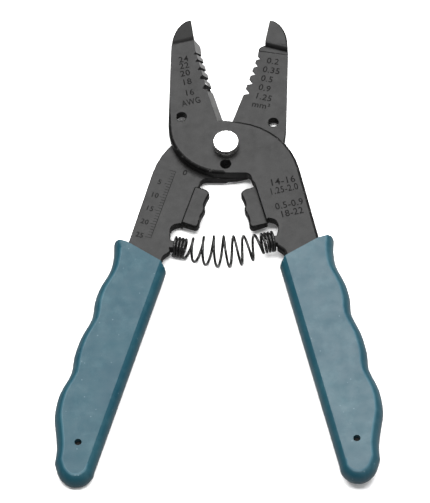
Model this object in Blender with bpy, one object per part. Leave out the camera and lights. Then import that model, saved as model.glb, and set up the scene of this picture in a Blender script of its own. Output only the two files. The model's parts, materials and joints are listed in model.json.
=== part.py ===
"""Plier-type wire stripper: two stamped levers on one rivet, moulded grips and a barrel spring.

X runs across the tool, +Y towards the jaws and +Z up. The origin lies on the rivet's axis, in the
plane that the tool rests on. The levers are twins: the rear one is the front one turned half a turn
about the tool's length, so that the two meet back to back in the shear plane. Plan outlines are in
millimetres in a lever's own plane, jaw at -X and handle at +X, and all other sizes are in metres.
"""

import math

import bmesh
import bpy
from mathutils import Vector

MM = 0.001
CUTTER_MARGIN = 0.5 * MM  # how far a cutter runs out past the face that it cuts
STEP_ARC_STEP = 15.0  # degrees between the points of the nose's fillet and rounding
LEAST_STRETCH_COSINE = 0.6  # keeps an inset outline's sharp corners from running away

# Stack of the two levers, measured along the rivet.
PLATE = 3.1 * MM  # thickness of one stamped lever
GAP = 0.3 * MM  # clearance between touching pieces
GRIP_THICKNESS = 7.2 * MM
SHEAR_Z = GAP / 2 + PLATE / 2 + GRIP_THICKNESS / 2  # height of the shear plane above the rest plane
PLATE_LOW = GAP / 2
PLATE_HIGH = PLATE_LOW + PLATE
PLATE_MIDDLE = PLATE_LOW + PLATE / 2

# Rivet.
RIVET_SHANK_R = 2.7 * MM
RIVET_HEAD_R = 4.05 * MM
RIVET_HEAD_TOP = 6.2 * MM  # above the shear plane
RIVET_CHAMFER = 0.25 * MM
COLLAR_R = 4.05 * MM

# Holes through a lever: centre in plan and radius, in millimetres.
PIVOT_HOLE = (0, 0, 3.0)
SCREW_SHEAR_HOLE = (0, -6.6, 1.6)
JAW_HOLE = (-14.4, 10.7, 1.55)

# Jaw.
JAW_BACK_X = -18.45
STEP_INNER = (-11.1, 39.3)  # the nose is set over beyond the line between these two points
STEP_OUTER = (JAW_BACK_X, 37.2)
CUTTER_ROOT = (-1.5, 10.9)
CUTTER_END = (-4.75, 20.9)
TOOTH_LINE = ((-4.95, 21.6), (-8.95, 35.6))
WIRE_NOTCHES = ((0.5, 34.6), (0.67, 31.9), (0.8, 28.9), (1.07, 25.6), (1.26, 22.0))  # wire, y
BEVEL_WIDTH = 1.8  # of the sharpened edges, on the outer face
CUTTER_BEVEL_WIDTH = 1.95
BEVEL_LAND = 0.2 * MM
STEP_FILLET = 3.2  # radius in the corner between the nose and the plate, on the outer face
STEP_FILLET_RISE = 1.6  # how high that fillet climbs above the nose
STEP_ROUNDING = 1.6  # radius of the nose's own edge, on the shear side
STEP_LAP = 0.3  # how far the nose and the lobe run into the plate, so that they unite
SCRIBE_LINE = ((-8.6, 37.35), (-19.0, 35.6))  # a shallow groove across the shear side
SCRIBE_WIDTH = 0.3
SCRIBE_DEPTH = 0.15 * MM

# Handle and tang.
HUB_CENTRE = (1.0, -13.5)
HUB_R = 22.8
HANDLE_SLOPE = 15.0  # degrees between the handle's outer edge and the tool's length
LOBE_TOP = (9.3, -13.6)  # the crimping lobe is set over inside the line between these two points
LOBE_BOTTOM = (13.2, -26.7)
SPRING_SEAT = (16.7, -33.6)
TONGUE_TILT = 8.0  # degrees
TONGUE_LENGTH = 3.2
TONGUE_HALF_WIDTH = 1.3
GRIP_HOLE = (42.4, -104.35, 1.1)
GRIP_INSET = 2.3  # how far the grip's faces lie inside its parting line
GRIP_SIDE_TURN = 68.0  # degrees that the rounded side turns through between line and face
GRIP_SIDE_STEPS = 5

# Barrel spring.
WIRE_R = 0.43 * MM
SPRING_HALF_SPAN = 15.8  # mm, from the middle to each end
SPRING_OPEN_HALF_SPAN = 11.9  # mm, where the close end turns stop
SPRING_MIDDLE_R = 4.8
SPRING_END_R = 2.9
SPRING_MIDDLE_Y = -36.4
SPRING_END_Y = -33.6
SPRING_BOW_POWER = 1.3
SPRING_OPEN_TURNS = 7.0
SPRING_END_TURNS = 4.0
SPRING_START_ANGLE = 210.0  # degrees round the coil, from its upper side
SPRING_POINTS_PER_TURN = 14
SPRING_WIRE_SIDES = 2  # bevel resolution: eight sides

STEEL_BLACK = (0.11, 0.11, 0.105, 1)
GRIP_BLUE = (0.09, 0.24, 0.33, 1)
STEEL_BRIGHT = (0.85, 0.85, 0.83, 1)
SPRING_BLACK = (0.02, 0.02, 0.02, 1)


def clear_scene():
    for obj in list(bpy.data.objects):
        bpy.data.objects.remove(obj, do_unlink=True)


def material(name, colour, roughness, metallic):
    found = bpy.data.materials.new(name)
    found.use_nodes = True
    shader = found.node_tree.nodes["Principled BSDF"]
    shader.inputs["Base Color"].default_value = colour
    shader.inputs["Roughness"].default_value = roughness
    shader.inputs["Metallic"].default_value = metallic
    return found


def place(name, mesh, finish):
    obj = bpy.data.objects.new(name, mesh)
    bpy.context.scene.collection.objects.link(obj)
    mesh.materials.clear()
    mesh.materials.append(finish)
    return obj


# Plan outlines, in millimetres.


def arc(centre, radius, start, end, step=9.0):
    """Points on an arc, angles in degrees from +X."""
    count = max(2, math.ceil(abs(end - start) / step))
    angles = [math.radians(start + (end - start) * i / count) for i in range(count + 1)]
    return [(centre[0] + radius * math.cos(a), centre[1] + radius * math.sin(a)) for a in angles]


def rounded(corners, step=15.0):
    """An outline from its corners. A corner given as (x, y, radius) is rounded to that radius."""
    points = []
    for i, corner in enumerate(corners):
        here = Vector(corner[:2])
        if len(corner) == 2:
            points.append(tuple(here))
            continue
        before = (Vector(corners[i - 1][:2]) - here).normalized()
        after = (Vector(corners[(i + 1) % len(corners)][:2]) - here).normalized()
        half = before.angle(after) / 2
        centre = here + (before + after).normalized() * (corner[2] / math.sin(half))
        first = here + before * (corner[2] / math.tan(half)) - centre
        sweep = -first.angle_signed(here + after * (corner[2] / math.tan(half)) - centre)
        count = max(1, math.ceil(abs(math.degrees(sweep)) / step))
        start = math.atan2(first.y, first.x)
        for k in range(count + 1):
            angle = start + sweep * k / count
            points.append(
                (centre.x + corner[2] * math.cos(angle), centre.y + corner[2] * math.sin(angle))
            )
    return points


def smooth(points, pieces=3):
    """An open curve through the points (Catmull-Rom), with each span cut into pieces."""
    path = [Vector(p) for p in points]
    path = [2 * path[0] - path[1]] + path + [2 * path[-1] - path[-2]]
    curve = []
    for a, b, c, d in zip(path, path[1:], path[2:], path[3:]):
        for k in range(pieces):
            t = k / pieces
            curve.append(
                0.5
                * (
                    2 * b
                    + (c - a) * t
                    + (2 * a - 5 * b + 4 * c - d) * t**2
                    + (3 * b - a - 3 * c + d) * t**3
                )
            )
    curve.append(path[-2])
    return [tuple(p) for p in curve]


def inset(outline, distance):
    """The counterclockwise outline moved inwards by a distance."""
    moved = []
    for i, point in enumerate(outline):
        here = Vector(point)
        before = (here - Vector(outline[i - 1])).normalized()
        after = (Vector(outline[(i + 1) % len(outline)]) - here).normalized()
        inward = Vector((-(before + after).y, (before + after).x)).normalized()
        stretch = 1 / max(LEAST_STRETCH_COSINE, inward.dot(Vector((-after.y, after.x))))
        moved.append(tuple(here + inward * distance * stretch))
    return moved


def counterclockwise(outline):
    area = sum(a[0] * b[1] - b[0] * a[1] for a, b in zip(outline, outline[1:] + outline[:1]))
    return outline if area > 0 else outline[::-1]


# Solids.


def loft(name, rings):
    """A mesh from stacked rings of equal length, each (outline in mm, height), bottom to top."""
    shape = bmesh.new()
    loops = []
    for outline, height in rings:
        loops.append([shape.verts.new((x * MM, y * MM, height)) for x, y in outline])
    shape.faces.new(loops[0][::-1])
    shape.faces.new(loops[-1])
    for low, high in zip(loops, loops[1:]):
        for i in range(len(low)):
            j = (i + 1) % len(low)
            shape.faces.new((low[i], low[j], high[j], high[i]))
    mesh = bpy.data.meshes.new(name)
    shape.to_mesh(mesh)
    shape.free()
    return mesh


def prism(name, outline, low, high):
    ring = counterclockwise(outline)
    return loft(name, [(ring, low), (ring, high)])


def turned(name, profile, sides=48):
    """A solid turned about Z from (radius, height) points in metres, its ends closed by flat caps."""
    rings = [
        ([(r / MM * x, r / MM * y) for x, y in arc((0, 0), 1, 0, 360, 360 / sides)[:-1]], z)
        for r, z in profile
    ]
    return loft(name, rings)


def cylinder(name, hole, low, high):
    """A round cutter for a hole given as (x, y, radius) in mm."""
    outline = arc(hole[:2], hole[2], 0, 360, 10)[:-1]
    return loft(name, [(outline, low), (outline, high)])


def sweep(name, start, end, section):
    """A prism along a plan line. The section is in mm to the line's right, and height in metres."""
    along = (Vector(end) - Vector(start)).normalized()
    right = Vector((along.y, -along.x))
    shape = bmesh.new()
    loops = []
    for centre in (start, end):
        places = [(Vector(centre) + right * u, z) for u, z in section]
        loops.append([shape.verts.new((p.x * MM, p.y * MM, z)) for p, z in places])
    shape.faces.new(loops[0])
    shape.faces.new(loops[1][::-1])
    count = len(section)
    for i in range(count):
        j = (i + 1) % count
        shape.faces.new((loops[0][j], loops[0][i], loops[1][i], loops[1][j]))
    bmesh.ops.recalc_face_normals(shape, faces=shape.faces)
    mesh = bpy.data.meshes.new(name)
    shape.to_mesh(mesh)
    shape.free()
    return mesh


def combined(name, base, steps):
    """The mesh left after uniting or cutting the base mesh with each (operation, mesh) in turn."""
    body = bpy.data.objects.new(name, base)
    bpy.context.scene.collection.objects.link(body)
    tools = []
    for i, (operation, mesh) in enumerate(steps):
        tool = bpy.data.objects.new(f"{name}_tool_{i}", mesh)
        bpy.context.scene.collection.objects.link(tool)
        tool.hide_render = True
        tool.display_type = "WIRE"
        tools.append(tool)
        modifier = body.modifiers.new(f"step_{i}", "BOOLEAN")
        modifier.operation = operation
        modifier.solver = "EXACT"
        modifier.object = tool
    bpy.context.view_layer.update()
    result = bpy.data.meshes.new_from_object(
        body.evaluated_get(bpy.context.evaluated_depsgraph_get())
    )
    for obj in tools + [body]:
        bpy.data.objects.remove(obj, do_unlink=True)
    result.name = name
    return result


# The lever: jaw, hub, handle and tang in one stamping.


def tongue_corners():
    """The spring's tongue, from its root's upper corner round to its lower one."""
    tilt = math.radians(TONGUE_TILT)
    along = Vector((-math.cos(tilt), -math.sin(tilt)))
    across = Vector((-along.y, along.x)) * -TONGUE_HALF_WIDTH
    root = Vector(SPRING_SEAT)
    tip = root + along * TONGUE_LENGTH
    return [
        tuple(root + across),
        (*(tip + across), 0.5),
        (*(tip - across), 0.5),
        tuple(root - across),
    ]


def tang_corners():
    """The part of the handle that the grip hides, from its outer edge round to its inner one."""
    return [(46.0, -100.0), (46.6, -109.8, 3.0), (39.6, -111.2, 2.5), (20.4, -43.4)]


def plate_outline():
    slope = math.radians(HANDLE_SLOPE)
    handle_start = (
        HUB_CENTRE[0] + HUB_R * math.cos(slope),
        HUB_CENTRE[1] + HUB_R * math.sin(slope),
    )
    corners = [
        CUTTER_ROOT,
        CUTTER_END,
        TOOTH_LINE[0],
        TOOTH_LINE[1],
        (-9.3, 38.6, 1.4),
        STEP_INNER,
        STEP_OUTER,
        (JAW_BACK_X, 7.9),
    ]
    corners += arc((-0.65, 7.9), 17.8, 180, 270)[1:]
    corners += [(7.6, -9.9, 2.0), (8.6, -12.8), LOBE_TOP, LOBE_BOTTOM, (13.9, -26.2)]
    corners += [(17.0, -26.9, 2.5), (16.8, -30.9), *tongue_corners(), (16.7, -36.3)]
    corners += [(18.9, -38.0, 2.0), (19.5, -41.0), *tang_corners()[::-1]]
    corners += [(30.0, -34.2), handle_start]
    corners += arc(HUB_CENTRE, HUB_R, HANDLE_SLOPE, 90)[1:]
    corners += [(-1.3, 9.2)]
    return rounded(corners)


def nose_outline():
    """The gripping nose, with its curved back."""
    corners = [(STEP_INNER[0] - 0.1, STEP_INNER[1] - STEP_LAP), (-11.3, 40.2), (-12.5, 47.5, 0.5)]
    corners += smooth(
        [
            (-13.4, 47.8),
            (-14.5, 47.3),
            (-16.0, 45.9),
            (-17.2, 44.0),
            (-18.1, 41.3),
            (JAW_BACK_X, 38.0),
        ]
    )
    corners += [(JAW_BACK_X, STEP_OUTER[1] - STEP_LAP)]
    return rounded(corners)


def lobe_outline():
    """The crimping lobe with its two nests."""
    corners = [(LOBE_TOP[0] + STEP_LAP, LOBE_TOP[1] - 0.1)]
    corners += smooth(
        [
            (8.4, -14.0),
            (6.1, -14.8),
            (4.95, -16.3),
            (5.75, -18.3),
            (6.35, -20.3),
            (6.2, -22.1),
            (7.1, -24.0),
            (7.7, -25.9),
            (7.75, -27.2),
        ],
        4,
    )
    corners += [(8.5, -28.7, 1.1), (LOBE_BOTTOM[0] + STEP_LAP, LOBE_BOTTOM[1] - 0.1)]
    return rounded(corners)


def edge_bevel(name, start, end, width=BEVEL_WIDTH):
    """The wedge that sharpens an edge: nothing off near the shear plane, most off the outer face."""
    outside = 5.0
    foot = PLATE_LOW + BEVEL_LAND
    top = PLATE_HIGH + CUTTER_MARGIN
    run = width * (top - foot) / (PLATE_HIGH - foot)
    return sweep(name, start, end, [(0, foot), (-run, top), (outside, top), (outside, foot)])


def beyond(start, end, extra=3.0):
    """The same plan line made longer at both ends."""
    start, end = Vector(start), Vector(end)
    along = (end - start).normalized() * extra
    return start - along, end + along


def step_fillet_cutter():
    """What is milled off above the nose, leaving a fillet against the plate's end."""
    clear = 0.02
    turn = math.acos(1 - STEP_FILLET_RISE / STEP_FILLET)
    centre = (clear + STEP_FILLET * math.sin(turn), STEP_FILLET)
    nose_top = PLATE / 2
    top = nose_top + STEP_FILLET_RISE * MM + CUTTER_MARGIN
    fillet = arc(centre, STEP_FILLET, 270 - math.degrees(turn), 270, STEP_ARC_STEP)
    section = [(u, nose_top + v * MM) for u, v in fillet]
    section += [(15.0, nose_top), (15.0, top), (clear, top)]
    return sweep("step_fillet", *beyond(STEP_INNER, STEP_OUTER), section)


def step_rounding_cutter():
    """What rounds the nose's lower edge where it hangs over the plate's shear side."""
    nose_bottom = -PLATE / 2
    edge = -STEP_LAP
    outside = edge - 1.0
    rounding = arc((edge + STEP_ROUNDING, STEP_ROUNDING), STEP_ROUNDING, 180, 270, STEP_ARC_STEP)
    section = [(u, nose_bottom + v * MM) for u, v in rounding]
    section += [(section[-1][0], nose_bottom - CUTTER_MARGIN)]
    section += [(outside, nose_bottom - CUTTER_MARGIN), (outside, section[0][1])]
    return sweep("step_rounding", *beyond(STEP_INNER, STEP_OUTER), section)


def scribe_cutter():
    half = SCRIBE_WIDTH / 2
    low = PLATE_LOW - CUTTER_MARGIN
    high = PLATE_LOW + SCRIBE_DEPTH
    return sweep("scribe", *SCRIBE_LINE, [(-half, low), (-half, high), (half, high), (half, low)])


def notch_cutter(name, wire, y):
    """A wire notch that deepens, and widens towards the nose, from its edge to the outer face."""
    start, end = (Vector(p) for p in TOOTH_LINE)
    along = (end - start).normalized()
    outward = Vector((along.y, -along.x))
    centre = start + along * ((y - start.y) / along.y)
    rings = []
    low = PLATE_LOW - CUTTER_MARGIN
    high = PLATE_HIGH + CUTTER_MARGIN
    for height, spread in ((low, 0.0), (PLATE_LOW, 0.0), (high, 1.0)):
        depth = 0.75 + 0.65 * wire + 1.9 * spread
        lower_mouth = (1.1 + 0.8 * wire) / 2 + 0.1 * spread
        upper_mouth = lower_mouth + (1.3 * wire - 0.4) * spread
        half_floor = wire * 0.3
        local = [
            (-lower_mouth * 1.6, 1.0),
            (-lower_mouth, 0.0),
            (-half_floor, -depth * 0.93),
            (0, -depth),
            (half_floor, -depth * 0.93),
            (upper_mouth, 0.0),
            (upper_mouth * 1.3, 1.0),
        ]
        ring = [tuple(centre + along * s + outward * u) for s, u in local]
        rings.append((counterclockwise(ring), height))
    return loft(name, rings)


def nose_mesh():
    block = prism("nose", nose_outline(), -PLATE / 2, PLATE / 2 + STEP_FILLET_RISE * MM)
    cuts = [("DIFFERENCE", step_fillet_cutter()), ("DIFFERENCE", step_rounding_cutter())]
    return combined("nose", block, cuts)


def lever_mesh():
    half = PLATE / 2
    cutter_heights = (PLATE_LOW - CUTTER_MARGIN, PLATE_HIGH + CUTTER_MARGIN)
    cutter_bevel = edge_bevel("cutter_bevel", (-1.1, 9.6), (-4.85, 21.2), CUTTER_BEVEL_WIDTH)
    plate = prism("plate", plate_outline(), PLATE_LOW, PLATE_HIGH)
    steps = [
        ("UNION", nose_mesh()),
        ("UNION", prism("lobe", lobe_outline(), -half, half)),
        ("DIFFERENCE", cutter_bevel),
        ("DIFFERENCE", edge_bevel("tooth_bevel", (-4.85, 21.25), (-9.0, 35.8))),
        ("DIFFERENCE", edge_bevel("shoulder_bevel", (-8.9, 35.4), (-9.6, 40.2))),
        ("DIFFERENCE", scribe_cutter()),
    ]
    for i, (wire, y) in enumerate(WIRE_NOTCHES):
        steps.append(("DIFFERENCE", notch_cutter(f"notch_{i}", wire, y)))
    for hole in (PIVOT_HOLE, SCREW_SHEAR_HOLE, JAW_HOLE):
        steps.append(("DIFFERENCE", cylinder("hole", hole, *cutter_heights)))
    return combined("lever", plate, steps)


# The moulded grip.


def grip_outline():
    """The grip's parting line, with the finger waves on its outer side. It runs on past the mouth,
    where the mouth cutter trims it, and it is counterclockwise."""
    waves = smooth(
        [
            (34.6, -29.0),
            (34.3, -34.8),
            (34.3, -38.4),
            (35.2, -43.2),
            (38.2, -49.4),
            (39.6, -54.6),
            (40.2, -60.2),
            (43.2, -66.6),
            (45.1, -73.4),
            (45.8, -79.4),
            (49.0, -86.4),
            (50.25, -93.8),
            (49.6, -99.8),
            (49.1, -105.2),
            (49.5, -110.2),
        ]
    )
    end = smooth(
        [
            (49.5, -110.2),
            (47.9, -114.8),
            (44.6, -117.5),
            (40.7, -117.3),
            (37.9, -114.9),
            (37.1, -112.1),
        ]
    )
    inner_side_top = (13.8, -29.0)
    return counterclockwise(waves + end[1:] + [inner_side_top])


def grip_body():
    """The moulding before its mouth, pocket and hole are cut: rounded sides between two flat faces."""
    outline = grip_outline()
    half = GRIP_THICKNESS / 2
    full_turn = math.radians(GRIP_SIDE_TURN)
    rings = []
    for i in range(-GRIP_SIDE_STEPS, GRIP_SIDE_STEPS + 1):
        turn = full_turn * i / GRIP_SIDE_STEPS
        inward = GRIP_INSET * (1 - math.cos(turn)) / (1 - math.cos(full_turn))
        height = half * math.sin(turn) / math.sin(full_turn)
        rings.append((inset(outline, inward), PLATE_MIDDLE + height))
    return loft("grip_body", rings)


def mouth_cutter():
    """What is trimmed off above the mouth. The outer lip keeps a rounded corner."""
    corners = [(10.0, -46.0), (17.6, -43.0), (19.2, -40.8), (30.2, -33.8), (34.45, -32.5, 1.5)]
    corners += [(34.45, -36.0), (40.0, -36.0), (40.0, -22.0), (10.0, -22.0)]
    half = GRIP_THICKNESS / 2 + CUTTER_MARGIN
    return prism("mouth", rounded(corners), PLATE_MIDDLE - half, PLATE_MIDDLE + half)


def pocket_mesh():
    """The slot that the tang fills, larger than the tang by the clearance all round."""
    gap = GAP / MM
    pocket = [
        (18.2, -37.0),
        (19.5 - gap, -41.0 - gap),
        (20.4 - gap, -43.4 - gap),
        (39.6 - gap, -111.2 - gap, 2.8),
        (46.6 + gap, -109.8 - gap, 3.3),
        (46.0 + gap, -100.0 + gap),
        (30.0 + gap, -34.2 + gap),
        (29.0 + gap, -30.2),
    ]
    return prism("pocket", rounded(pocket), PLATE_LOW - GAP, PLATE_HIGH + GAP)


def grip_mesh():
    half = GRIP_THICKNESS / 2 + CUTTER_MARGIN
    hole = cylinder("grip_hole", GRIP_HOLE, PLATE_MIDDLE - half, PLATE_MIDDLE + half)
    cuts = [("DIFFERENCE", cutter) for cutter in (mouth_cutter(), pocket_mesh(), hole)]
    return combined("grip", grip_body(), cuts)


# The rivet, its rear collar and the spring.


def rivet_mesh():
    head_bottom = PLATE_HIGH + GAP
    return turned(
        "rivet",
        [
            (RIVET_SHANK_R, -SHEAR_Z),
            (RIVET_SHANK_R, head_bottom),
            (RIVET_HEAD_R, head_bottom),
            (RIVET_HEAD_R, RIVET_HEAD_TOP - RIVET_CHAMFER),
            (RIVET_HEAD_R - RIVET_CHAMFER, RIVET_HEAD_TOP),
        ],
    )


def collar_mesh():
    top = -(PLATE_HIGH + GAP)
    ring = turned(
        "collar",
        [
            (COLLAR_R - RIVET_CHAMFER, -SHEAR_Z),
            (COLLAR_R, -SHEAR_Z + RIVET_CHAMFER),
            (COLLAR_R, top),
        ],
    )
    bore = turned("bore", [(RIVET_SHANK_R + GAP, -SHEAR_Z - GAP), (RIVET_SHANK_R + GAP, top + GAP)])
    return combined("collar", ring, [("DIFFERENCE", bore)])


def spring_path():
    """Points along the wire, in metres from the shear plane, from the rear lever to the front one."""
    end_length = SPRING_HALF_SPAN - SPRING_OPEN_HALF_SPAN
    turns = SPRING_OPEN_TURNS + 2 * SPRING_END_TURNS
    count = round(turns * SPRING_POINTS_PER_TURN)
    points = []
    for i in range(count + 1):
        turn = turns * i / count
        if turn < SPRING_END_TURNS:
            x = -SPRING_HALF_SPAN + end_length * turn / SPRING_END_TURNS
        elif turn > turns - SPRING_END_TURNS:
            x = SPRING_HALF_SPAN - end_length * (turns - turn) / SPRING_END_TURNS
        else:
            share = (turn - SPRING_END_TURNS) / SPRING_OPEN_TURNS
            x = SPRING_OPEN_HALF_SPAN * (2 * share - 1)
        open_x = min(1.0, abs(x) / SPRING_OPEN_HALF_SPAN)
        radius = SPRING_MIDDLE_R - (SPRING_MIDDLE_R - SPRING_END_R) * open_x**2
        sag = SPRING_MIDDLE_Y - SPRING_END_Y
        room = 1 - (x / SPRING_HALF_SPAN) ** 2
        axis_y = SPRING_END_Y + sag * room**SPRING_BOW_POWER
        slope = -2 * x / SPRING_HALF_SPAN**2 * SPRING_BOW_POWER * room ** (SPRING_BOW_POWER - 1) * sag
        lean = math.atan(slope)
        axis_z = math.copysign(PLATE_MIDDLE * open_x**3, x)
        angle = 2 * math.pi * turn + math.radians(SPRING_START_ANGLE)
        rise = radius * math.cos(angle)
        points.append(
            Vector(
                (
                    (x - rise * math.sin(lean)) * MM,
                    (axis_y + rise * math.cos(lean)) * MM,
                    axis_z + radius * MM * math.sin(angle),
                )
            )
        )
    return points


def spring_curve():
    curve = bpy.data.curves.new("return_spring", "CURVE")
    curve.dimensions = "3D"
    curve.bevel_depth = WIRE_R
    curve.bevel_resolution = SPRING_WIRE_SIDES
    curve.use_fill_caps = True
    path = spring_path()
    spline = curve.splines.new("POLY")
    spline.points.add(len(path) - 1)
    for point, place_at in zip(spline.points, path):
        point.co = (*place_at, 1)
    return curve


def smooth_shade(mesh):
    mesh.shade_smooth()
    mesh.set_sharp_from_angle(angle=math.radians(30))


def build():
    clear_scene()
    black = material("blackened_steel", STEEL_BLACK, 0.5, 0.6)
    blue = material("grip_blue", GRIP_BLUE, 0.45, 0.0)
    bright = material("polished_steel", STEEL_BRIGHT, 0.15, 1.0)
    dark = material("spring_steel", SPRING_BLACK, 0.35, 0.8)

    shear_plane = Vector((0, 0, SHEAR_Z))
    lever = lever_mesh()
    grip = grip_mesh()
    pieces = [
        ("rear_lever", lever, black, math.pi),
        ("front_lever", lever, black, 0),
        ("rear_grip", grip, blue, math.pi),
        ("front_grip", grip, blue, 0),
        ("pivot_rivet", rivet_mesh(), bright, 0),
        ("rivet_collar", collar_mesh(), bright, 0),
        ("return_spring", spring_curve(), dark, 0),
    ]
    for name, data, finish, turn in pieces:
        obj = place(name, data, finish)
        obj.location = shear_plane
        obj.rotation_euler = (0, turn, 0)
        if obj.type == "MESH":
            smooth_shade(data)


build()
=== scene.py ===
"""Looks of the wire stripper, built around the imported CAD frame.

Everything is in metres, in the frame's own coordinates: X across the tool, +Y towards the jaws and
+Z up, with the rivet's axis through the origin. Numbers multiplied by MM are in mm, and so are the
places and sizes of the etched marks.
"""

import json
import math

import bmesh
import bpy
from mathutils import Matrix, Vector
from mathutils.bvhtree import BVHTree


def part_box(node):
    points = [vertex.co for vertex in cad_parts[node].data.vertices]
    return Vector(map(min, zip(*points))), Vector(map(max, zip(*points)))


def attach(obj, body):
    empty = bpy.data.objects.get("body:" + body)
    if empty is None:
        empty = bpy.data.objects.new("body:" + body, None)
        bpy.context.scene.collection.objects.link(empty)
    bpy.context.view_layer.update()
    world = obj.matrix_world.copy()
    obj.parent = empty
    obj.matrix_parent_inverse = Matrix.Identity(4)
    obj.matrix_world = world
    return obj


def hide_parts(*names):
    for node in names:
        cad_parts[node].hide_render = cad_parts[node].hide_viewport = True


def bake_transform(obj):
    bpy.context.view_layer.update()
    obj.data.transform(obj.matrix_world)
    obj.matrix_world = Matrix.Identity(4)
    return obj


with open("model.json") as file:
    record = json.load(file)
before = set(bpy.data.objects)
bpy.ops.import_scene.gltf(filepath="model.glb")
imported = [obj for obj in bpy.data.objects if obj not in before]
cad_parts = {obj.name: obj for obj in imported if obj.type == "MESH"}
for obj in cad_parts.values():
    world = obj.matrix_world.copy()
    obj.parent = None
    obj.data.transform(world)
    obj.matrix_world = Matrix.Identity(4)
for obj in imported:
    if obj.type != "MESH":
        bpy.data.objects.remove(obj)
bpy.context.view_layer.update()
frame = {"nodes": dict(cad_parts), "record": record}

MM = 0.001

# Heights taken from the frame. The levers' plates lie either side of the shear plane. Their noses
# and lobes are as thick as a plate and lie across it.
JOINT = frame["record"]["behaviour"]["joints"][0]
SHEAR_Z = JOINT["pos_m"][2]
HALF_GAP = 0.15 * MM  # half the running gap between the plates
FRONT_FACE_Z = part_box("front_lever")[1][2]  # upper face of the front lever's plate
REAR_FACE_Z = SHEAR_Z - HALF_GAP  # upper face of the rear lever's plate, its shear side
HALF_PLATE = (FRONT_FACE_Z - SHEAR_Z - HALF_GAP) / 2

# Camera: a long lens above the handles, looking down at the front faces.
TILT = math.radians(30.0)
TURN = math.radians(5.85)
ROLL = math.radians(-4.93)
DISTANCE = 1.572
AIM = Vector((-0.00362, -0.02703, -0.01099))
CLIP_NEAR = 0.05
CLIP_FAR = 20
LENS = 357.9  # mm, as is the sensor's width
SENSOR_WIDTH = 36

# Light.
LIGHT_AIM = Vector((0, -0.03, 0))
SKY_TOP = (0.34, 0.0, 0.94)  # the sky's brightest point, a little to the right of overhead
SKY_LOW = 0.03
SKY_HIGH = 1.0
SKY_LOW_COSINE = 0.35  # of the angle from SKY_TOP where the sky starts brightening
SKY_HIGH_COSINE = 0.95  # and where it stops
FLOOR_SIZE = 6
FLOOR_SEEN = 0.94
FLOOR_GLOW = 0.085  # lifts the soft outskirts of the shadows to white
FLOOR_BOUNCE = 0.35  # what the floor throws back at the tool, less than what the eye sees

# Rims of the stamped levers and of the moulded grips.
WELD = 0.03 * MM  # points nearer to each other than this are joined
ROLLED_RIM = 0.95 * MM  # round a lever's outer face, where the punch drew the edge in
STEP_RIM = 0.5 * MM  # round the faces of the nose and the lobe
LEVER_RIM = 0.22 * MM
GRIP_RIM = 0.4 * MM
WIDE_RIM_SEGMENTS = 4
RIM_SEGMENTS = 3
LEVER_SHARP = math.radians(25)  # edges that turn by more than this are rounded
GRIP_SHARP = math.radians(14)
COPLANAR = math.radians(0.6)  # faces that turn by less than this are one flat face
CREASE = math.radians(36)  # edges that turn by more than this are shaded sharp
LEVEL_REACH = 0.01 * MM  # how near a height an edge at that height lies
SMOOTH_BEND = math.radians(120)  # an edge line that bends less sharply than this runs on through
SHORTEST = 0.5  # shortest edge along a smooth line, in rims
BEND_ROOM = 2.2  # shortest edges beside a sharper bend, in rims
CORNER_ROOM = 2.6  # shortest edges at a corner of three or more, in rims
ROUNDING_TRIES = 6
SPOT_REACH = 1.5  # how far round a fold its edges stay sharp, in rims
FOLD_AREA = 0.004 * MM * MM  # smallest triangle that counts as a fold
FOLD_TURN = 0.15  # least cosine between a face and the CAD's surface beside it

# Places of the finishes among a piece's materials. Grips have only the first two.
FACE, RIM, WALL, GROUND, NOSE = range(5)

# A lever's faces by their normals.
WALL_SLOPE = 0.35  # greatest upward share of a cut wall's normal
GROUND_SLOPE = (0.45, 0.62)  # upward shares of the ground edges' normals
GROUND_FACING = 0.75  # least sideways share
NOSE_START_Y = 39.2 * MM  # where the front nose's finish starts: grinding lines with painted shade

# The front lever's nose.
NOSE_LINES_CENTRE = (-11.3 * MM, 40.5 * MM)  # the grinding lines fan out from here
NOSE_ROOT = (-18.4 * MM, 37.2 * MM)  # left end of the front plate's end line
NOSE_ROOT_SLOPE = 0.297
NOSE_PAINTED_SHADE_BAND = (0.3 * MM, 1.7 * MM)  # reach of the band of painted shade beyond that line

# Finishes.
NOISE_RANGE = (0.3, 0.7)  # where nearly all of a noise's values lie
MIX_A, MIX_B, MIX_RESULT = 6, 7, 2  # a Mix node's colour sockets
GRIP_DARK = (0.004, 0.034, 0.051, 1)
GRIP_LIGHT = (0.009, 0.045, 0.061, 1)
# The ridge rims' tones, lighter than the plastic: a painted highlight along the rounded ridges.
GRIP_RIDGE_PAINTED_HIGHLIGHT_DARK = (0.006, 0.04, 0.06, 1)
GRIP_RIDGE_PAINTED_HIGHLIGHT_LIGHT = (0.02, 0.07, 0.092, 1)
GRIP_RUBBED = (0.045, 0.098, 0.116, 1)
GRIP_SPECK = (0.12, 0.18, 0.21, 1)
# Each grip's reflection. The grips are one plastic, and the rear grip's lower reflection is painted
# shade.
GRIP_SPECULAR = {"rear_half": 0.2, "front_half": 0.31}

# Rivet and collar.
RIVET_R = 4.05 * MM
RIVET_EDGE = 0.4 * MM
RIVET_FOOT = 0.12 * MM  # broken edge under the head
RIVET_CROWN = 0.05 * MM
RIVET_CROWN_PROFILE = ((0.6, 0.35), (0.3, 0.08), (0.05, 0.0))  # shares of radius and crown
SHANK_R = 2.7 * MM
TAIL_EDGE = 0.3 * MM
TAIL_LAND = 0.4 * MM  # flat ring inside the tail's rounded edge
TAIL_HOLLOW = (0.9 * MM, 0.12 * MM)  # how far inside that edge its floor starts, and its depth
COLLAR_BORE_R = 2.8 * MM
COLLAR_EDGE = 0.25 * MM
TURNED_SIDES = 96
TURNED_SHARP = math.radians(50)

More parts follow.
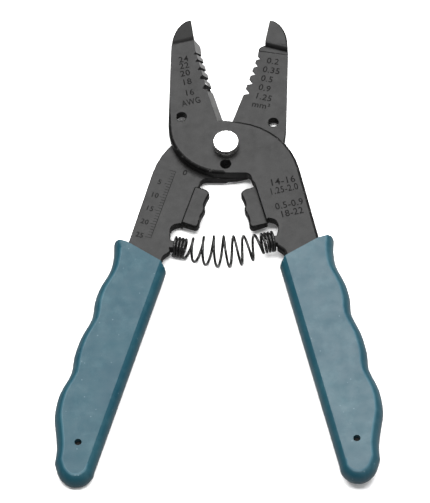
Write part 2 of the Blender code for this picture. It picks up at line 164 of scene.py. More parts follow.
# Barrel spring: the CAD's path, wound from a round wire.
WIRE_R = 0.43 * MM
WIRE_SIDES = 12
WIRE_SHARP = math.radians(60)
SPRING_HALF_SPAN = 15.8 * MM
SPRING_OPEN_HALF_SPAN = 11.9 * MM
SPRING_MIDDLE_R = 4.8 * MM
SPRING_END_R = 2.9 * MM
SPRING_MIDDLE_Y = -36.4 * MM
SPRING_END_Y = -33.6 * MM
SPRING_BOW_POWER = 1.3
SPRING_OPEN_TURNS = 7.0
SPRING_END_TURNS = 4.0
SPRING_START_ANGLE = 210.0  # degrees
SPRING_POINTS_PER_TURN = 36

# Etched marks.
MARK_SINK = 0.02 * MM  # how far a mark reaches into the plate
MARK_PROUD = 0.008 * MM
MARK_WEIGHT = 0.04 * MM  # added round each letter's strokes
CAP_HEIGHT = 0.69  # of the built-in font, as a share of its size
LETTER_SPACING = 1.08
LETTER_RESOLUTION = 3

# Wire sizes: (text, x, y, height, turn) in mm and degrees. A last number is the letters' width as a
# share of the font's.
FRONT_JAW_MARKS = [
    ("24", -14.4, 31.9, 2.1, 13),
    ("22", -14.1, 29.5, 2.1, 13),
    ("20", -13.7, 26.7, 2.1, 13),
    ("18", -13.1, 23.5, 2.1, 13),
    ("16", -12.2, 19.5, 2.1, 13),
    ("AWG", -11.5, 16.1, 2.2, 16, 0.76),
]
FRONT_HANDLE_MARKS = [
    ("14-16", 17.9, -12.8, 2.3, 12),
    ("1.25-2.0", 18.4, -15.8, 2.3, 14, 0.78),
    ("0.5-0.9", 20.2, -21.2, 2.3, 14, 0.9),
    ("18-22", 21.0, -24.2, 2.3, 14, 0.9),
]
REAR_JAW_MARKS = [
    ("0.2", 13.8, 33.3, 2.1, -10),
    ("0.35", 13.4, 29.9, 2.1, -10),
    ("0.5", 12.1, 26.7, 2.1, -12),
    ("0.9", 11.4, 23.3, 2.1, -14),
    ("1.25", 11.1, 19.9, 2.1, -14),
    ("mm\u00b2", 10.4, 16.9, 2.1, -12),
]

# The rule on the rear handle, in mm. Its nought stands on the other side of its line.
RULE_TOP = Vector((-15.8, -7.5))
RULE_BOTTOM = Vector((-22.9, -31.8))
RULE_LENGTH = 25
RULE_LINE = 0.16
RULE_TICK = 1.3
RULE_LONG_TICK = 2.0
RULE_LONG_STEP = 5
RULE_NOUGHT = ("0", -12.9, -7.9, 1.9)
RULE_NUMBER_HEIGHT = 1.7
RULE_NUMBER_GAP = 1.7  # from a long tick's end to the middle of its number


# Camera and light.


def add_camera():
    data = bpy.data.cameras.new("camera")
    data.sensor_fit = "AUTO"
    data.sensor_width = SENSOR_WIDTH
    data.lens = LENS
    data.clip_start = CLIP_NEAR
    data.clip_end = CLIP_FAR
    back = Vector(
        (math.sin(TILT) * math.sin(TURN), -math.sin(TILT) * math.cos(TURN), math.cos(TILT))
    )
    camera = bpy.data.objects.new("camera", data)
    camera.matrix_world = (
        Matrix.Translation(AIM + back * DISTANCE)
        @ (back.to_track_quat("Z", "Y").to_matrix() @ Matrix.Rotation(ROLL, 3, "Z")).to_4x4()
    )
    bpy.context.scene.collection.objects.link(camera)
    bpy.context.scene.camera = camera


def add_light(name, azimuth, elevation, distance, width, height, power):
    """A soft box that faces the tool. Azimuth 0 is +Y and 90 is +X, elevation is above the floor,
    distance and sizes are in metres, and power is in watts.
    """
    data = bpy.data.lights.new(name, "AREA")
    data.shape = "RECTANGLE"
    data.size = width
    data.size_y = height
    data.energy = power
    level = math.cos(math.radians(elevation))
    direction = Vector(
        (
            level * math.sin(math.radians(azimuth)),
            level * math.cos(math.radians(azimuth)),
            math.sin(math.radians(elevation)),
        )
    )
    lamp = bpy.data.objects.new(name, data)
    lamp.location = LIGHT_AIM + direction * distance
    lamp.rotation_euler = direction.to_track_quat("Z", "Y").to_euler()
    bpy.context.scene.collection.objects.link(lamp)


def add_world():
    """A studio room, dim at the horizon and brightest a little to the right of overhead."""
    world = bpy.data.worlds.new("studio")
    bpy.context.scene.world = world
    world.use_nodes = True
    nodes = world.node_tree.nodes
    links = world.node_tree.links
    place = nodes.new("ShaderNodeTexCoord")
    height = nodes.new("ShaderNodeVectorMath")
    height.operation = "DOT_PRODUCT"
    height.inputs[1].default_value = SKY_TOP
    ramp = nodes.new("ShaderNodeValToRGB")
    links.new(place.outputs["Generated"], height.inputs[0])
    links.new(height.outputs["Value"], ramp.inputs["Fac"])
    links.new(ramp.outputs["Color"], nodes["Background"].inputs["Color"])
    low, high = ramp.color_ramp.elements
    low.position = SKY_LOW_COSINE
    low.color = grey(SKY_LOW)
    high.position = SKY_HIGH_COSINE
    high.color = grey(SKY_HIGH)


def add_floor():
    bpy.ops.mesh.primitive_plane_add(size=FLOOR_SIZE)
    floor = bpy.context.object
    floor.name = "floor"
    floor.data.materials.append(floor_finish())


# Materials.


def grey(value, warm=0.0):
    return (value * (1 + warm), value, value * (1 - warm), 1)


class Finish:
    """A procedural material on a Principled shader, in object coordinates (metres)."""

    def __init__(self, name):
        self.material = bpy.data.materials.new(name)
        self.material.use_nodes = True
        self.nodes = self.material.node_tree.nodes
        self.links = self.material.node_tree.links
        self.shader = self.nodes["Principled BSDF"]
        self.place = self.nodes.new("ShaderNodeTexCoord").outputs["Object"]

    def set(self, **values):
        """Plain values on the shader's own sockets, such as specular_ior_level=0.4."""
        for key, value in values.items():
            names = [i.name for i in self.shader.inputs]
            name = next(n for n in names if n.lower().replace(" ", "_") == key)
            self.shader.inputs[name].default_value = value

    def feed(self, name, output):
        self.links.new(output, self.shader.inputs[name])

    def put(self, socket, value):
        if isinstance(value, bpy.types.NodeSocket):
            self.links.new(value, socket)
        else:
            socket.default_value = value

    def stretched(self, scale, turn=0.0):
        """The coordinates scaled by (x, y, z), after a turn about Z in degrees."""
        node = self.nodes.new("ShaderNodeMapping")
        node.inputs["Scale"].default_value = scale
        node.inputs["Rotation"].default_value = (0, 0, math.radians(turn))
        self.links.new(self.place, node.inputs["Vector"])
        return node.outputs["Vector"]

    def noise(self, scale, detail=3.0, roughness=0.55, distortion=0.0, place=None):
        node = self.nodes.new("ShaderNodeTexNoise")
        node.inputs["Scale"].default_value = scale
        node.inputs["Detail"].default_value = detail
        node.inputs["Roughness"].default_value = roughness
        node.inputs["Distortion"].default_value = distortion
        self.links.new(place or self.place, node.inputs["Vector"])
        return node.outputs["Fac"]

    def cells(self, scale):
        """Distance to the nearest of scattered points, in cells."""
        node = self.nodes.new("ShaderNodeTexVoronoi")
        node.inputs["Scale"].default_value = scale
        self.links.new(self.place, node.inputs["Vector"])
        return node.outputs["Distance"]

    def remap(self, value, low, high, to_low=0.0, to_high=1.0):
        node = self.nodes.new("ShaderNodeMapRange")
        self.put(node.inputs["Value"], value)
        node.inputs["From Min"].default_value = low
        node.inputs["From Max"].default_value = high
        node.inputs["To Min"].default_value = to_low
        node.inputs["To Max"].default_value = to_high
        return node.outputs["Result"]

    def spread(self, noise, to_low=0.0, to_high=1.0):
        """A noise's values spread over the whole of another range."""
        return self.remap(noise, *NOISE_RANGE, to_low, to_high)

    def maths(self, operation, a, b=0.0):
        node = self.nodes.new("ShaderNodeMath")
        node.operation = operation
        self.put(node.inputs[0], a)
        self.put(node.inputs[1], b)
        return node.outputs[0]

    def mix(self, share, a, b):
        """Colour a where share is 0 and colour b where it is 1."""
        node = self.nodes.new("ShaderNodeMix")
        node.data_type = "RGBA"
        self.put(node.inputs["Factor"], share)
        self.put(node.inputs[MIX_A], a)
        self.put(node.inputs[MIX_B], b)
        return node.outputs[MIX_RESULT]

    def tint(self, tone, mask, strength, colour):
        """The tone with a colour mixed in, by the given strength where the mask is 1."""
        return self.mix(self.maths("MULTIPLY", mask, strength), tone, colour)

    def bump(self, height, depth, normal=None):
        """A bump whose height output of 1 stands depth metres proud."""
        node = self.nodes.new("ShaderNodeBump")
        node.inputs["Distance"].default_value = depth
        node.inputs["Strength"].default_value = 1.0
        self.links.new(height, node.inputs["Height"])
        if normal is not None:
            self.links.new(normal, node.inputs["Normal"])
        return node.outputs["Normal"]


def steel_finish():
    """Black-oxide steel: mottled tone, fine blasted grain and a few faint handling scratches."""
    finish = Finish("blackened_steel")
    light = 0.011
    mottle = finish.spread(finish.noise(scale=170, detail=5, roughness=0.62))
    grain = finish.spread(finish.noise(scale=2600, detail=3, roughness=0.6))
    tone = finish.mix(mottle, grey(0.004, 0.02), grey(light, 0.01))
    tone = finish.tint(tone, grain, strength=0.35, colour=grey(light * 1.5))
    scratch_place = finish.stretched(scale=(260, 5200, 1000), turn=28)
    scratches = finish.noise(1.0, detail=2, roughness=0.5, distortion=0.4, place=scratch_place)
    scratched = finish.remap(scratches, low=0.7, high=0.76)
    tone = finish.tint(tone, scratched, strength=0.3, colour=grey(light * 3))
    finish.feed("Base Color", tone)
    patch = finish.noise(scale=420, detail=4, roughness=0.6)
    finish.feed("Roughness", finish.spread(patch, to_low=0.29, to_high=0.41))
    finish.set(metallic=0.0, specular_ior_level=0.134)
    normal = finish.bump(finish.noise(scale=240), depth=0.03 * MM)
    normal = finish.bump(grain, depth=0.004 * MM, normal=normal)
    finish.feed("Normal", finish.bump(scratched, depth=-0.003 * MM, normal=normal))
    return finish.material


def worn_rim_finish():
    """The levers' rims, where handling has rubbed the black off in a few places. Their reflection
    is turned far down: painted shade that keeps the rounded rims dark.
    """
    finish = Finish("worn_rim")
    wear = finish.remap(finish.noise(scale=520, detail=5, roughness=0.7), low=0.56, high=0.72)
    spots = finish.remap(finish.noise(scale=3200, detail=3, roughness=0.6), low=0.4, high=0.65)
    share = finish.maths("MULTIPLY", wear, spots)
    finish.feed("Base Color", finish.mix(share, grey(0.004), grey(0.12, 0.02)))
    finish.feed("Metallic", finish.maths("MULTIPLY", share, 0.7))
    finish.feed("Roughness", finish.remap(spots, 0, 1, to_low=0.34, to_high=0.46))
    # Painted shade: a low reflection, so the rounded rims read as dark lines.
    finish.set(specular_ior_level=0.05)
    finish.feed("Normal", finish.bump(spots, depth=0.004 * MM))
    return finish.material


def ground_edge_finish():
    """The sharpened edges: lightly blackened steel with the grinding wheel's fine lines across."""
    finish = Finish("ground_edge")
    lines_place = finish.stretched(scale=(700, 9000, 700), turn=14)
    lines = finish.noise(1.0, detail=3, roughness=0.65, distortion=0.2, place=lines_place)
    film = finish.spread(finish.noise(scale=380, detail=4, roughness=0.6))
    tone = finish.mix(finish.spread(lines), grey(0.16, 0.01), grey(0.26, 0.01))
    finish.feed("Base Color", finish.tint(tone, film, strength=0.3, colour=grey(0.1)))
    finish.feed("Roughness", finish.spread(lines, to_low=0.36, to_high=0.5))
    finish.set(metallic=0.8, specular_ior_level=0.4)
    finish.feed("Normal", finish.bump(lines, depth=0.006 * MM))
    return finish.material


def ground_nose_finish():
    """The front lever's nose: dark, with grinding lines that run in from its curved back.

    It is darkest in a band along the end of the front plate. This is painted shade: its reflection
    is turned down below the plate's, most of all in that band.
    """
    finish = Finish("ground_nose")
    split = finish.nodes.new("ShaderNodeSeparateXYZ")
    finish.links.new(finish.place, split.inputs["Vector"])
    x, y = split.outputs["X"], split.outputs["Y"]
    rise = finish.maths("MULTIPLY", finish.maths("SUBTRACT", x, NOSE_ROOT[0]), NOSE_ROOT_SLOPE)
    beyond = finish.maths("SUBTRACT", finish.maths("SUBTRACT", y, NOSE_ROOT[1]), rise)
    # Painted shade: the reflection fades to almost nothing towards the front plate's end line.
    specular = finish.remap(beyond, *NOSE_PAINTED_SHADE_BAND, to_low=0.004, to_high=0.08)
    finish.feed("Specular IOR Level", specular)
    across = finish.maths("SUBTRACT", x, NOSE_LINES_CENTRE[0])
    upward = finish.maths("SUBTRACT", y, NOSE_LINES_CENTRE[1])
    fan = finish.nodes.new("ShaderNodeCombineXYZ")
    finish.links.new(finish.maths("ARCTAN2", upward, across), fan.inputs["X"])
    lines = finish.noise(scale=90, detail=3, roughness=0.7, place=fan.outputs["Vector"])
    lines = finish.remap(lines, low=0.35, high=0.65)
    grain = finish.spread(finish.noise(scale=2600, detail=3, roughness=0.6))
    tone = finish.mix(lines, grey(0.003), grey(0.011, 0.03))
    finish.feed("Base Color", finish.tint(tone, grain, strength=0.3, colour=grey(0.014)))
    finish.feed("Roughness", finish.remap(lines, 0, 1, to_low=0.32, to_high=0.46))
    finish.set(metallic=0.0)
    finish.feed("Normal", finish.bump(lines, depth=0.006 * MM))
    return finish.material


def sheared_wall_finish():
    """The stamping's cut walls: rougher, with the die's drawn lines across the thickness."""
    finish = Finish("sheared_wall")
    lines_place = finish.stretched(scale=(2600, 2600, 130))
    lines = finish.noise(1.0, detail=3, roughness=0.6, place=lines_place)
    blotch = finish.spread(finish.noise(scale=300, detail=4, roughness=0.6))
    finish.feed("Base Color", finish.mix(blotch, grey(0.006), grey(0.014)))
    finish.feed("Roughness", finish.spread(lines, to_low=0.5, to_high=0.7))
    finish.set(metallic=0.0, specular_ior_level=0.12)
    finish.feed("Normal", finish.bump(lines, depth=0.02 * MM))
    return finish.material


def grip_finish(name, dark, light, rubbed_share, specular):
    """Satin moulded vinyl: faint grain, soft waviness, rubbed patches and a few light specks."""
    finish = Finish(name)
    cloud = finish.spread(finish.noise(scale=60, detail=4, roughness=0.6))
    rubbed = finish.remap(finish.noise(scale=190, detail=5, roughness=0.65), low=0.5, high=0.8)
    speck = finish.remap(finish.cells(scale=330), low=0.05, high=0.09, to_low=1.0, to_high=0.0)
    tone = finish.mix(cloud, dark, light)
    tone = finish.tint(tone, rubbed, rubbed_share, GRIP_RUBBED)
    finish.feed("Base Color", finish.tint(tone, speck, strength=0.35, colour=GRIP_SPECK))
    patch = finish.noise(scale=260, detail=4, roughness=0.6)
    finish.feed("Roughness", finish.spread(patch, to_low=0.34, to_high=0.48))
    finish.set(metallic=0.0, specular_ior_level=specular)
    waves = finish.bump(finish.noise(scale=120), depth=0.08 * MM)
    grain = finish.noise(scale=2400, detail=3, roughness=0.6)
    finish.feed("Normal", finish.bump(grain, depth=0.008 * MM, normal=waves))
    return finish.material


def polished_finish():
    """The rivet's bright steel, with turning rings and hairline scratches."""
    finish = Finish("polished_steel")
    rings = finish.nodes.new("ShaderNodeTexWave")
    rings.wave_type = "RINGS"
    rings.rings_direction = "Z"
    rings.inputs["Scale"].default_value = 900
    rings.inputs["Distortion"].default_value = 1.5
    rings.inputs["Detail"].default_value = 2
    finish.links.new(finish.place, rings.inputs["Vector"])
    hair_place = finish.stretched(scale=(700, 9000, 800), turn=-35)
    hair = finish.noise(1.0, detail=3, roughness=0.6, distortion=0.6, place=hair_place)
    finish.feed("Base Color", finish.mix(hair, grey(0.78, 0.01), grey(0.9, 0.01)))
    finish.feed("Roughness", finish.spread(hair, to_low=0.16, to_high=0.3))
    finish.set(metallic=1.0)
    normal = finish.bump(rings.outputs["Fac"], depth=0.0015 * MM)
    finish.feed("Normal", finish.bump(hair, depth=0.002 * MM, normal=normal))
    return finish.material


def spring_finish():
    """Oiled black spring wire with fine drawing lines."""
    finish = Finish("spring_steel")
    film = finish.spread(finish.noise(scale=900, detail=4, roughness=0.6))
    finish.feed("Base Color", finish.mix(film, grey(0.004), grey(0.011)))
    finish.feed("Roughness", finish.remap(film, 0, 1, to_low=0.18, to_high=0.3))
    finish.set(metallic=0.0, specular_ior_level=0.3)
    finish.feed("Normal", finish.bump(finish.noise(scale=5200, detail=2), depth=0.003 * MM))
    return finish.material


def etched_finish():
    """The etched marks: matt and darker than the plate round them."""
    finish = Finish("etched_mark")
    pits = finish.spread(finish.noise(scale=5200, detail=3, roughness=0.6))
    finish.feed("Base Color", finish.mix(pits, grey(0.002), grey(0.012)))
    finish.feed("Roughness", finish.remap(pits, 0, 1, to_low=0.75, to_high=0.95))
    finish.set(metallic=0.0, specular_ior_level=0.06)
    finish.feed("Normal", finish.bump(pits, depth=0.008 * MM))
    return finish.material


def floor_finish():
    """A plain white board that bounces less light than it shows, as in a room with dim walls."""
    finish = Finish("white_floor")
    seen = finish.nodes.new("ShaderNodeLightPath").outputs["Is Camera Ray"]
    finish.feed("Base Color", finish.mix(seen, grey(FLOOR_BOUNCE), grey(FLOOR_SEEN)))
    finish.feed("Emission Strength", finish.maths("MULTIPLY", seen, FLOOR_GLOW))
    finish.set(roughness=0.9, specular_ior_level=0.1, emission_color=grey(1.0))
    return finish.material


# Meshes.


def add_object(name, mesh, *materials):
    obj = bpy.data.objects.new(name, mesh)
    bpy.context.scene.collection.objects.link(obj)
    for material in materials:
        mesh.materials.append(material)
    return obj


def finished_mesh(shape, name):
    mesh = bpy.data.meshes.new(name)
    shape.to_mesh(mesh)
    shape.free()
    mesh.shade_smooth()
    return mesh


def join_rings(shape, low, high):
    """Walls between two rings of points."""
    for i in range(len(low)):
        j = (i + 1) % len(low)
        shape.faces.new((low[i], low[j], high[j], high[i]))


# Levers and grips: the CAD's shapes with their edges rounded.


def clean(shape):
    """Welds points that almost meet, and removes the slivers that this leaves.

    The faces are then sorted, because removing slivers leaves them in another order each run.
    """
    bmesh.ops.remove_doubles(shape, verts=shape.verts, dist=WELD)
    bmesh.ops.dissolve_degenerate(shape, edges=shape.edges, dist=WELD / 2)
    shape.verts.index_update()
    order = sorted(shape.faces, key=lambda face: [v.index for v in face.verts])
    shape.faces.sort(key={face: place for place, face in enumerate(order)}.get)


def whole_shape(node):
    """The CAD node's shape with its flat faces whole again."""
    shape = bmesh.new()
    shape.from_mesh(frame["nodes"][node].data)
    clean(shape)
    bmesh.ops.dissolve_limit(shape, angle_limit=COPLANAR, verts=shape.verts, edges=shape.edges)
    return shape


def is_sharp(edge, sharp_angle):
    ground = any(face.material_index == GROUND for face in edge.link_faces)
    return edge.is_manifold and not ground and edge.calc_face_angle() > sharp_angle


def has_room(vert, sharp, rim):
    """Whether the sharp edges that meet here are long enough to be rounded without crossing."""
    edges = [e for e in vert.link_edges if e in sharp]
    if len(edges) != 2:
        return all(e.calc_length() > CORNER_ROOM * rim for e in edges)
    first, second = (e.other_vert(vert).co - vert.co for e in edges)
    shortest = min(first.length, second.length)
    return shortest > SHORTEST * rim and (
        first.angle(second) > SMOOTH_BEND or shortest > BEND_ROOM * rim
    )


def bevel_edges(shape, rim, segments, sharp_angle, material, level, fold_free):
    """Rounds the sharp edges that have room for the rim and lie clear of the fold_free spots."""
    sharp = {e for e in shape.edges if is_sharp(e, sharp_angle)}
    if level is not None:
        sharp = {e for e in sharp if all(abs(v.co.z - level) < LEVEL_REACH for v in e.verts)}
    roomy = {v for v in shape.verts if has_room(v, sharp, rim)}
    roomy = {v for v in roomy if all((v.co - s).length > SPOT_REACH * rim for s in fold_free)}
    bmesh.ops.bevel(
        shape,
        geom=[e for e in sharp if roomy.issuperset(e.verts)],
        offset=rim,
        offset_type="OFFSET",
        segments=segments,
        profile=0.5,
        affect="EDGES",
        clamp_overlap=False,
        material=material,
    )
    clean(shape)


def folds(shape, surface):
    """Corners of the triangles that turn against the CAD's surface beside them."""
    triangles = shape.copy()
    bmesh.ops.triangulate(triangles, faces=triangles.faces[:])
    spots = []
    for face in triangles.faces:
        if face.calc_area() > FOLD_AREA:
            face.normal_update()
            beside = surface.find_nearest(face.calc_center_median())[1]
            if beside.dot(face.normal) < FOLD_TURN:
                spots += [v.co.copy() for v in face.verts]
    triangles.free()
    return spots


def round_edges(shape, surface, rim, segments, sharp_angle, material, level=None):
    """The shape with its sharp edges rounded, or only those at one height.

    Edges without room for the rim stay sharp, and so do those beside a fold that rounding makes.
    """
    fold_free = []
    known = folds(shape, surface)
    for _ in range(ROUNDING_TRIES):
        attempt = shape.copy()
        bevel_edges(attempt, rim, segments, sharp_angle, material, level, fold_free)
        found = [s for s in folds(attempt, surface) if all((s - k).length > WELD for k in known)]
        if not found:
            shape.free()
            return attempt
        attempt.free()
        fold_free += found
    return shape


def weigh_normals(obj):
    """Keeps large faces flat in their shading, and leaves the edges that weren't rounded sharp."""
    obj.data.set_sharp_from_angle(angle=CREASE)
    modifier = obj.modifiers.new("flat faces", "WEIGHTED_NORMAL")
    modifier.keep_sharp = True


def add_lever(body, materials):
    node = body.replace("half", "lever")
    shape = whole_shape(node)
    for face in shape.faces:
        slope = abs(face.normal.z)
        if slope < WALL_SLOPE:
            face.material_index = WALL
        elif GROUND_SLOPE[0] < slope < GROUND_SLOPE[1] and abs(face.normal.x) > GROUND_FACING:
            face.material_index = GROUND
        elif body == "front_half" and face.calc_center_median().y > NOSE_START_Y:
            face.material_index = NOSE
    surface = BVHTree.FromBMesh(shape)
    outer_face_z = FRONT_FACE_Z if body == "front_half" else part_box(node)[0][2]
    wide_rims = [
        (ROLLED_RIM, outer_face_z),
        (STEP_RIM, SHEAR_Z - HALF_PLATE),
        (STEP_RIM, SHEAR_Z + HALF_PLATE),
    ]
    for rim, level in wide_rims:
        shape = round_edges(shape, surface, rim, WIDE_RIM_SEGMENTS, LEVER_SHARP, RIM, level)
    shape = round_edges(shape, surface, LEVER_RIM, RIM_SEGMENTS, LEVER_SHARP, RIM)
    piece = add_object(f"{node}_steel", finished_mesh(shape, node), *materials)
    weigh_normals(piece)
    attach(piece, body)
    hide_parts(node)


def add_grip(body, materials):
    node = body.replace("half", "grip")
    shape = whole_shape(node)
    surface = BVHTree.FromBMesh(shape)
    low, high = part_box(node)
    # The rims at the top and bottom take the ridge finish, whose lighter tone is a painted
    # highlight.
    for level in (low[2], high[2]):
        shape = round_edges(shape, surface, GRIP_RIM, RIM_SEGMENTS, GRIP_SHARP, RIM, level)
    shape = round_edges(shape, surface, GRIP_RIM, RIM_SEGMENTS, GRIP_SHARP, FACE)
    piece = add_object(f"{node}_moulding", finished_mesh(shape, node), *materials)
    weigh_normals(piece)
    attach(piece, body)
    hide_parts(node)


# The rivet, its collar and the spring.


def turned_shape(profile, ring=False):
    """A solid turned about Z from (radius, height) points: a ring, or closed by flat caps."""
    shape = bmesh.new()
    circles = []
    for radius, height in profile:
        circle = []
        for i in range(TURNED_SIDES):
            angle = 2 * math.pi * i / TURNED_SIDES
            place = (radius * math.cos(angle), radius * math.sin(angle), height)
            circle.append(shape.verts.new(place))
        circles.append(circle)
    for low, high in zip(circles, circles[1:] + circles[:1] if ring else circles[1:]):
        join_rings(shape, low, high)
    if not ring:
        shape.faces.new(circles[0][::-1])
        shape.faces.new(circles[-1])
    return shape


def quarter(radius, height, size, start, end, steps=5):
    """Profile points round a quarter circle of the given size, angles in degrees from +radius."""
    points = []
    for i in range(steps + 1):
        angle = math.radians(start + (end - start) * i / steps)
        points.append((radius + size * math.cos(angle), height + size * math.sin(angle)))
    return points


def add_rivet(material):
    """The rivet, with a slightly crowned head on the front plate and a hollowed tail."""
    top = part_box("pivot_rivet")[1][2]
    tail_r = SHANK_R - TAIL_EDGE
    hollow_inset, hollow_depth = TAIL_HOLLOW
    profile = [(tail_r - hollow_inset, hollow_depth), (tail_r - TAIL_LAND, 0.0)]
    profile += quarter(tail_r, TAIL_EDGE, TAIL_EDGE, start=-90, end=0)
    profile += [(SHANK_R, FRONT_FACE_Z), (RIVET_R - RIVET_FOOT, FRONT_FACE_Z)]
    profile += [(RIVET_R, FRONT_FACE_Z + RIVET_FOOT)]
    edge_z = top - RIVET_CROWN - RIVET_EDGE
    profile += quarter(RIVET_R - RIVET_EDGE, edge_z, RIVET_EDGE, start=0, end=80)
    for radius_share, crown_share in RIVET_CROWN_PROFILE:
        profile.append((RIVET_R * radius_share, top - RIVET_CROWN * crown_share))
    shape = turned_shape(profile)
    piece = add_object("pivot_rivet_turned", finished_mesh(shape, "rivet"), material)
    piece.data.set_sharp_from_angle(angle=TURNED_SHARP)
    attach(piece, "rear_half")
    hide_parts("pivot_rivet")


def add_collar(material):
    """The rear collar: a flat ring with broken edges, up against the rear plate."""
    outer_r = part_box("rivet_collar")[1][0]
    plate_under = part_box("rear_lever")[0][2]
    profile = [(COLLAR_BORE_R, plate_under), (COLLAR_BORE_R, COLLAR_EDGE)]
    profile += [(COLLAR_BORE_R + COLLAR_EDGE, 0.0)]
    edge_r = outer_r - COLLAR_EDGE
    profile += quarter(edge_r, COLLAR_EDGE, COLLAR_EDGE, start=-90, end=0, steps=4)
    profile += [(outer_r, plate_under)]
    shape = turned_shape(profile, ring=True)
    piece = add_object("rivet_collar_turned", finished_mesh(shape, "collar"), material)
    piece.data.set_sharp_from_angle(angle=TURNED_SHARP)
    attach(piece, "rear_half")
    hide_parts("rivet_collar")


def spring_path():
    """Points along the wire, each with its share of the turns and its place along the axis.

    It runs from the rear lever to the front: close end turns, open turns that swell and bow in the
    middle, and close end turns again. Its axis climbs from one plate's middle to the other's.
    """
    turns = SPRING_OPEN_TURNS + 2 * SPRING_END_TURNS
    end_length = SPRING_HALF_SPAN - SPRING_OPEN_HALF_SPAN
    sag = SPRING_MIDDLE_Y - SPRING_END_Y
    plate_middle = (FRONT_FACE_Z - SHEAR_Z + HALF_GAP) / 2
    count = round(turns * SPRING_POINTS_PER_TURN)
    path = []
    for i in range(count + 1):
        turn = turns * i / count
        if turn < SPRING_END_TURNS:
            x = -SPRING_HALF_SPAN + end_length * turn / SPRING_END_TURNS
        elif turn > turns - SPRING_END_TURNS:
            x = SPRING_HALF_SPAN - end_length * (turns - turn) / SPRING_END_TURNS
        else:
            x = SPRING_OPEN_HALF_SPAN * (2 * (turn - SPRING_END_TURNS) / SPRING_OPEN_TURNS - 1)
        open_x = min(1.0, abs(x) / SPRING_OPEN_HALF_SPAN)
        radius = SPRING_MIDDLE_R - (SPRING_MIDDLE_R - SPRING_END_R) * open_x**2
        room = 1 - (x / SPRING_HALF_SPAN) ** 2
        axis_y = SPRING_END_Y + sag * room**SPRING_BOW_POWER
        slope = -2 * x / SPRING_HALF_SPAN**2 * SPRING_BOW_POWER * sag
        lean = math.atan(slope * room ** (SPRING_BOW_POWER - 1))
        axis_z = SHEAR_Z + math.copysign(plate_middle * open_x**3, x)
        angle = math.radians(360 * turn + SPRING_START_ANGLE)
        rise = radius * math.cos(angle)
        point = Vector(
            (
                x - rise * math.sin(lean),
                axis_y + rise * math.cos(lean),
                axis_z + radius * math.sin(angle),
            )
        )
        path.append((point, turn / turns, x))
    return path


def add_spring(material):
    """The spring's wire: rings of points carried along its path without twisting."""
    path = spring_path()
    shape = bmesh.new()
    rings = []
    across = Vector((0, 0, 1))
    for i, (point, share, x) in enumerate(path):
        along = (path[min(i + 1, len(path) - 1)][0] - path[max(i - 1, 0)][0]).normalized()
        across = (across - along * across.dot(along)).normalized()
        other = along.cross(across)
        ring = []
        for k in range(WIRE_SIDES):
            angle = 2 * math.pi * k / WIRE_SIDES
            offset = (across * math.cos(angle) + other * math.sin(angle)) * WIRE_R
            ring.append(shape.verts.new(point + offset))
        rings.append(ring)
    for low, high in zip(rings, rings[1:]):
        join_rings(shape, low, high)
    shape.faces.new(rings[0][::-1])
    shape.faces.new(rings[-1])
    piece = add_object("return_spring_wire", finished_mesh(shape, "spring"), material)
    piece.data.set_sharp_from_angle(angle=WIRE_SHARP)
    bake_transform(piece)
    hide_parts("return_spring")


# Etched marks: wire sizes and the rule.


def text_shape(face_z, text, x, y, height, turn, width=1.0):
    """The mesh of one etched word, centred on its place, a hair proud of the plate."""
    curve = bpy.data.curves.new(text, "FONT")
    curve.body = text
    curve.size = height / CAP_HEIGHT * MM
    curve.align_x = "CENTER"
    curve.align_y = "CENTER"
    curve.resolution_u = LETTER_RESOLUTION
    curve.extrude = (MARK_SINK + MARK_PROUD) / 2
    curve.offset = MARK_WEIGHT
    curve.space_character = LETTER_SPACING
    word = bpy.data.objects.new(text, curve)
    bpy.context.scene.collection.objects.link(word)
    bpy.context.view_layer.update()
    graph = bpy.context.evaluated_depsgraph_get()
    mesh = bpy.data.meshes.new_from_object(word.evaluated_get(graph))
    bpy.data.objects.remove(word, do_unlink=True)
    middle_z = face_z + (MARK_PROUD - MARK_SINK) / 2
    place = Matrix.Translation((x * MM, y * MM, middle_z))
    turned = Matrix.Rotation(math.radians(turn), 4, "Z")
    narrowed = Matrix.Diagonal((width, 1, 1, 1))
    mesh.transform(place @ turned @ narrowed)
    return mesh


def add_stroke(shape, start, end, face_z):
    """A straight etched line between two plan points in mm."""
    along = (end - start).normalized()
    side = Vector((-along.y, along.x)) * RULE_LINE / 2
    corners = [start - side, end - side, end + side, start + side]
    low = [shape.verts.new((c.x * MM, c.y * MM, face_z - MARK_SINK)) for c in corners]
    high = [shape.verts.new((c.x * MM, c.y * MM, face_z + MARK_PROUD)) for c in corners]
    shape.faces.new(low[::-1])
    shape.faces.new(high)
    join_rings(shape, low, high)


def add_marks(name, body, face_z, words, material, strokes=()):
    shape = bmesh.new()
    for word in words:
        shape.from_mesh(text_shape(face_z, *word))
    for start, end in strokes:
        add_stroke(shape, start, end, face_z)
    mesh = bpy.data.meshes.new(name)
    shape.to_mesh(mesh)
    shape.free()
    piece = add_object(name, mesh, material)
    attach(piece, body)


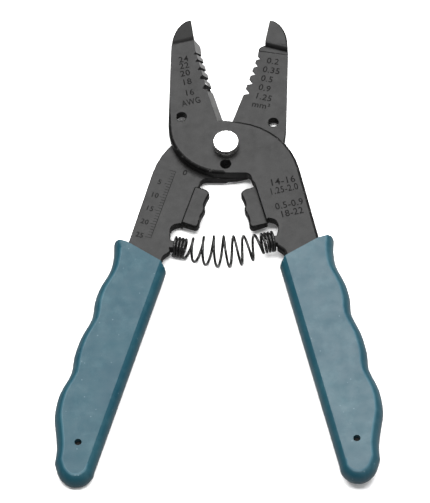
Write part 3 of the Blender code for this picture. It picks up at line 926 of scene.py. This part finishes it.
def add_rule(material):
    """The rule on the rear handle: a line, a tick each millimetre and a number at each fifth."""
    along = (RULE_BOTTOM - RULE_TOP).normalized()
    out = Vector((along.y, -along.x))
    turn = math.degrees(math.atan2(along.y, along.x)) + 90
    strokes = [(RULE_TOP, RULE_TOP + along * RULE_LENGTH)]
    words = [(*RULE_NOUGHT, turn)]
    for i in range(RULE_LENGTH + 1):
        root = RULE_TOP + along * i
        length = RULE_LONG_TICK if i % RULE_LONG_STEP == 0 else RULE_TICK
        strokes.append((root, root + out * length))
        if i % RULE_LONG_STEP == 0 and i > 0:
            spot = root + out * (RULE_LONG_TICK + RULE_NUMBER_GAP)
            words.append((str(i), spot.x, spot.y, RULE_NUMBER_HEIGHT, turn))
    add_marks("rear_handle_rule", "rear_half", REAR_FACE_Z, words, material, strokes)


def main():
    add_camera()
    add_world()
    # The flat faces mirror the overhead box, and the rims that lean towards the handles the strip.
    add_light(
        "overhead_box", azimuth=0, elevation=62, distance=1.5, width=1.4, height=1.1, power=40
    )
    add_light(
        "top_strip", azimuth=185, elevation=76, distance=1.5, width=1.0, height=0.2, power=22
    )
    bpy.context.scene.view_settings.view_transform = "Standard"

    lever_materials = (
        steel_finish(),
        worn_rim_finish(),
        sheared_wall_finish(),
        ground_edge_finish(),
        ground_nose_finish(),
    )
    # The ridges' finish: a lighter tone that paints their highlight, with rubbed patches of wear.
    ridge_highlight = grip_finish(
        "grip_worn_ridge", GRIP_RIDGE_PAINTED_HIGHLIGHT_DARK, GRIP_RIDGE_PAINTED_HIGHLIGHT_LIGHT, rubbed_share=0.3, specular=0.25
    )
    for body, specular in GRIP_SPECULAR.items():
        add_lever(body, lever_materials)
        plastic = grip_finish(
            f"{body}_plastic", GRIP_DARK, GRIP_LIGHT, rubbed_share=0.35, specular=specular
        )
        add_grip(body, (plastic, ridge_highlight))
    bright = polished_finish()
    add_rivet(bright)
    add_collar(bright)
    add_spring(spring_finish())

    etched = etched_finish()
    add_marks("front_jaw_sizes", "front_half", FRONT_FACE_Z, FRONT_JAW_MARKS, etched)
    add_marks("front_handle_sizes", "front_half", FRONT_FACE_Z, FRONT_HANDLE_MARKS, etched)
    add_marks("rear_jaw_sizes", "rear_half", REAR_FACE_Z, REAR_JAW_MARKS, etched)
    add_rule(etched)
    add_floor()


main()
